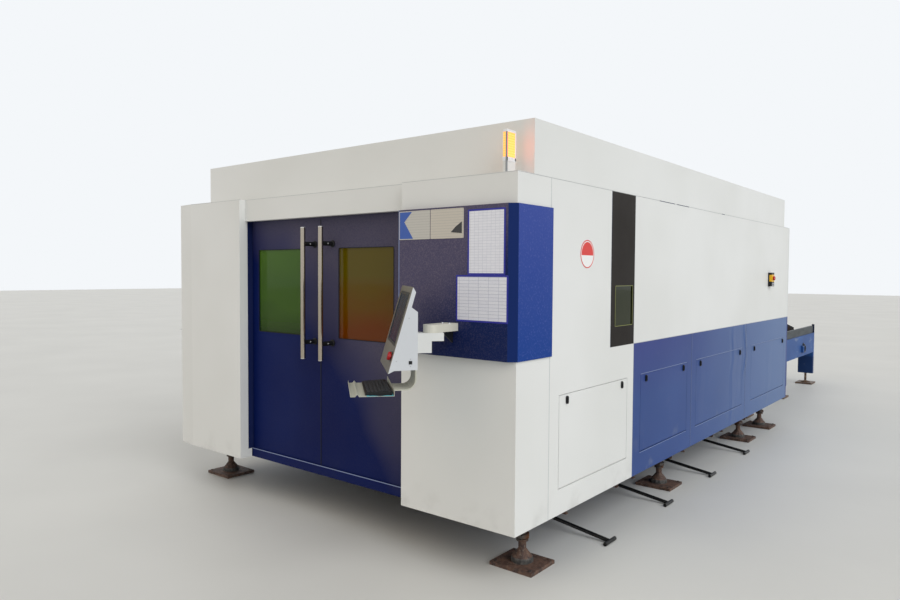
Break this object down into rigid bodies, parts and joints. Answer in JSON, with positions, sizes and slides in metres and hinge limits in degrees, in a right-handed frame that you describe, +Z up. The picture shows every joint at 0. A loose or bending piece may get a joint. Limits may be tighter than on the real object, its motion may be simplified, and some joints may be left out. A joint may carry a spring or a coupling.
{
  "type": "fiber laser cutting machine",
  "caption": "Enclosed flat-bed laser cutting machine with double sliding doors, a swivelling control pendant, slag drawers and a rear pallet exchange table.",
  "frame": {"origin": "centre of the footprint at floor level", "axes": "+Y towards the exchange table at the rear, +X towards the long side with the service covers, +Z up; the doors face -Y"},
  "size_m": [3.1818, 9.324, 2.385],
  "materials": {
    "white_paint": "semi-matt powder coat",
    "blue_paint": "fine textured powder coat",
    "dark_trim": "satin powder coat",
    "frame_paint": "satin paint on welded steel",
    "amber_glass": "polished laser-safe pane",
    "smoked_glass": "polished laser-safe pane",
    "brushed_steel": "brushed",
    "scaled_steel": "hot rolled with mill scale",
    "lens_plastic": "translucent lens",
    "black_plastic": "moulded",
    "red_plastic": "moulded",
    "green_plastic": "moulded",
    "yellow_plastic": "moulded",
    "screen_glass": "anti-glare screen"
  },
  "bodies": {
    "machine": {"main_frame": "frame_paint", "front_cabinet": "white_paint", "left_cabinet": "white_paint", "door_header": "white_paint", "door_sill": "blue_paint", "side_panel_front": "white_paint", "strip_panel": "dark_trim", "strip_window": "smoked_glass", "side_panel_upper": "white_paint", "side_panel_low_front": "blue_paint", "side_panel_low_middle": "blue_paint", "side_panel_low_rear": "blue_paint", "roof_housing": "white_paint", "left_wall": "white_paint", "rear_wall": "white_paint", "blue_wrap": "blue_paint", "beacon_base": "white_paint", "beacon_lens": "lens_plastic", "stop_box": "yellow_plastic", "table_frame": "frame_paint", "pendant_bracket": "white_paint"},
    "door_left": {"door_left": "blue_paint", "window_left": "amber_glass", "handle_left": "brushed_steel"},
    "door_right": {"door_right": "blue_paint", "window_right": "amber_glass", "handle_right": "brushed_steel"},
    "cover_white": {"cover_white": "white_paint"},
    "latch_white_a": {"latch_white_a": "black_plastic"},
    "latch_white_b": {"latch_white_b": "black_plastic"},
    "cover_front": {"cover_front": "blue_paint"},
    "latch_front_a": {"latch_front_a": "black_plastic"},
    "latch_front_b": {"latch_front_b": "black_plastic"},
    "cover_middle": {"cover_middle": "blue_paint"},
    "latch_middle_a": {"latch_middle_a": "black_plastic"},
    "latch_middle_b": {"latch_middle_b": "black_plastic"},
    "cover_rear": {"cover_rear": "blue_paint"},
    "latch_rear_a": {"latch_rear_a": "black_plastic"},
    "latch_rear_b": {"latch_rear_b": "black_plastic"},
    "slag_drawer_1": {"slag_drawer_1": "scaled_steel"},
    "pull_bar_1": {"pull_bar_1": "scaled_steel"},
    "slag_drawer_2": {"slag_drawer_2": "scaled_steel"},
    "pull_bar_2": {"pull_bar_2": "scaled_steel"},
    "slag_drawer_3": {"slag_drawer_3": "scaled_steel"},
    "pull_bar_3": {"pull_bar_3": "scaled_steel"},
    "slag_drawer_4": {"slag_drawer_4": "scaled_steel"},
    "pull_bar_4": {"pull_bar_4": "scaled_steel"},
    "gantry_beam": {"gantry_beam": "white_paint"},
    "cross_carriage": {"cross_carriage": "dark_trim"},
    "cutting_head": {"cutting_head": "brushed_steel"},
    "pallet_upper": {"pallet_upper": "scaled_steel"},
    "pallet_lower": {"pallet_lower": "scaled_steel"},
    "stop_button": {"stop_button": "red_plastic"},
    "pendant": {"pendant_neck": "white_paint", "pendant_case": "white_paint", "pendant_screen": "screen_glass", "keyboard_tray": "white_paint", "keyboard": "black_plastic"},
    "pendant_stop": {"pendant_stop": "red_plastic"},
    "pendant_start": {"pendant_start": "green_plastic"}
  },
  "joints": [
    {"name": "door_left_slide", "type": "slide", "parent": "machine", "child": "door_left", "axis": [-1, 0, 0], "range_m": [0, 0.62]},
    {"name": "door_right_slide", "type": "slide", "parent": "machine", "child": "door_right", "axis": [1, 0, 0], "range_m": [0, 0.62]},
    {"name": "cover_white_hinge", "type": "hinge", "parent": "machine", "child": "cover_white", "pos_m": [1.49906, -3.133, 0.435], "axis": [0, 1, 0], "range_deg": [0, 90]},
    {"name": "latch_white_a_turn", "type": "hinge", "parent": "cover_white", "child": "latch_white_a", "pos_m": [1.50906, -3.478, 0.908], "axis": [1, 0, 0], "range_deg": [0, 90]},
    {"name": "latch_white_b_turn", "type": "hinge", "parent": "cover_white", "child": "latch_white_b", "pos_m": [1.50906, -2.788, 0.908], "axis": [1, 0, 0], "range_deg": [0, 90]},
    {"name": "cover_front_hinge", "type": "hinge", "parent": "machine", "child": "cover_front", "pos_m": [1.49906, -2.0805, 0.435], "axis": [0, 1, 0], "range_deg": [0, 90]},
    {"name": "latch_front_a_turn", "type": "hinge", "parent": "cover_front", "child": "latch_front_a", "pos_m": [1.50906, -2.418, 0.908], "axis": [1, 0, 0], "range_deg": [0, 90]},
    {"name": "latch_front_b_turn", "type": "hinge", "parent": "cover_front", "child": "latch_front_b", "pos_m": [1.50906, -1.743, 0.908], "axis": [1, 0, 0], "range_deg": [0, 90]},
    {"name": "cover_middle_hinge", "type": "hinge", "parent": "machine", "child": "cover_middle", "pos_m": [1.49906, -0.878, 0.435], "axis": [0, 1, 0], "range_deg": [0, 90]},
    {"name": "latch_middle_a_turn", "type": "hinge", "parent": "cover_middle", "child": "latch_middle_a", "pos_m": [1.50906, -1.383, 0.908], "axis": [1, 0, 0], "range_deg": [0, 90]},
    {"name": "latch_middle_b_turn", "type": "hinge", "parent": "cover_middle", "child": "latch_middle_b", "pos_m": [1.50906, -0.373, 0.908], "axis": [1, 0, 0], "range_deg": [0, 90]},
    {"name": "cover_rear_hinge", "type": "hinge", "parent": "machine", "child": "cover_rear", "pos_m": [1.49906, 0.577, 0.435], "axis": [0, 1, 0], "range_deg": [0, 90]},
    {"name": "latch_rear_a_turn", "type": "hinge", "parent": "cover_rear", "child": "latch_rear_a", "pos_m": [1.50906, 0.067, 0.908], "axis": [1, 0, 0], "range_deg": [0, 90]},
    {"name": "latch_rear_b_turn", "type": "hinge", "parent": "cover_rear", "child": "latch_rear_b", "pos_m": [1.50906, 1.087, 0.908], "axis": [1, 0, 0], "range_deg": [0, 90]},
    {"name": "slag_drawer_1_slide", "type": "slide", "parent": "machine", "child": "slag_drawer_1", "axis": [1, 0, 0], "range_m": [0, 0.85]},
    {"name": "pull_bar_1_hinge", "type": "hinge", "parent": "slag_drawer_1", "child": "pull_bar_1", "pos_m": [0.62706, -3.063, 0.148], "axis": [0, -1, 0], "range_deg": [0, 14]},
    {"name": "slag_drawer_2_slide", "type": "slide", "parent": "machine", "child": "slag_drawer_2", "axis": [1, 0, 0], "range_m": [0, 0.85]},
    {"name": "pull_bar_2_hinge", "type": "hinge", "parent": "slag_drawer_2", "child": "pull_bar_2", "pos_m": [0.62706, -2.158, 0.148], "axis": [0, -1, 0], "range_deg": [0, 14]},
    {"name": "slag_drawer_3_slide", "type": "slide", "parent": "machine", "child": "slag_drawer_3", "axis": [1, 0, 0], "range_m": [0, 0.85]},
    {"name": "pull_bar_3_hinge", "type": "hinge", "parent": "slag_drawer_3", "child": "pull_bar_3", "pos_m": [0.62706, -1.253, 0.148], "axis": [0, -1, 0], "range_deg": [0, 14]},
    {"name": "slag_drawer_4_slide", "type": "slide", "parent": "machine", "child": "slag_drawer_4", "axis": [1, 0, 0], "range_m": [0, 0.85]},
    {"name": "pull_bar_4_hinge", "type": "hinge", "parent": "slag_drawer_4", "child": "pull_bar_4", "pos_m": [0.62706, -0.348, 0.148], "axis": [0, -1, 0], "range_deg": [0, 14]},
    {"name": "gantry_slide", "type": "slide", "parent": "machine", "child": "gantry_beam", "axis": [0, 1, 0], "range_m": [0, 3.4]},
    {"name": "carriage_slide", "type": "slide", "parent": "gantry_beam", "child": "cross_carriage", "axis": [1, 0, 0], "range_m": [-0.75, 0.75]},
    {"name": "head_slide", "type": "slide", "parent": "cross_carriage", "child": "cutting_head", "axis": [0, 0, 1], "range_m": [-0.03, 0.12]},
    {"name": "pallet_upper_slide", "type": "slide", "parent": "machine", "child": "pallet_upper", "axis": [0, -1, 0], "range_m": [0, 4.302]},
    {"name": "pallet_lower_slide", "type": "slide", "parent": "machine", "child": "pallet_lower", "axis": [0, 1, 0], "range_m": [0, 4.302]},
    {"name": "stop_button_press", "type": "slide", "parent": "machine", "child": "stop_button", "axis": [-1, 0, 0], "range_m": [0, 0.005], "stiffness_N_per_m": 600, "springref_m": -0.002},
    {"name": "pendant_swivel", "type": "hinge", "parent": "machine", "child": "pendant", "pos_m": [1.13206, -4.191, 1.302], "axis": [0, 0, 1], "range_deg": [-10, 90]},
    {"name": "pendant_stop_press", "type": "slide", "parent": "pendant", "child": "pendant_stop", "axis": [0.6356, 0.721, -0.276], "range_m": [0, 0.005], "stiffness_N_per_m": 600, "springref_m": -0.002},
    {"name": "pendant_start_press", "type": "slide", "parent": "pendant", "child": "pendant_start", "axis": [0.6356, 0.721, -0.276], "range_m": [0, 0.005], "stiffness_N_per_m": 400, "springref_m": -0.002}
  ],
  "couplings": [
    {"joint": "pallet_lower_slide", "follows": "pallet_upper_slide", "ratio": 1}
  ]
}
